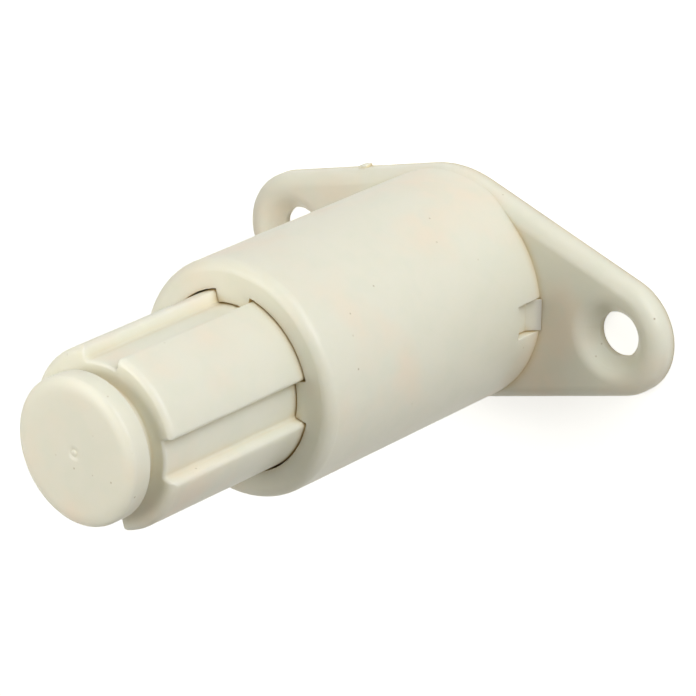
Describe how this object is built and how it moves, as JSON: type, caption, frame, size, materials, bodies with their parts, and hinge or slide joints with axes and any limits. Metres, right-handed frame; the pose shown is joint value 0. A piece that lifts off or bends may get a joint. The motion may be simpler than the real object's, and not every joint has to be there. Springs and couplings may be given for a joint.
{
  "type": "spring latch",
  "caption": "Sprung cabinet plunger latch: a round barrel on a flange with screw ears, holding a ribbed plunger with a necked disc head.",
  "frame": {"origin": "centre of the flange's back face, which is the mounting face", "axes": "+Z along the plunger towards its head, +X through the two screw ears"},
  "size_m": [0.0418, 0.019, 0.0448],
  "materials": {
    "natural_nylon": "satin, as moulded",
    "spring_steel": "bright drawn wire"
  },
  "bodies": {
    "housing": {"housing": "natural_nylon", "end_cap": "natural_nylon", "spring": "spring_steel"},
    "plunger": {"plunger": "natural_nylon"}
  },
  "joints": [
    {"name": "plunger_slide", "type": "slide", "parent": "housing", "child": "plunger", "axis": [0, 0, -1], "range_m": [0, 0.014], "stiffness_N_per_m": 300, "springref_m": -0.01, "deforming": ["spring"]}
  ]
}
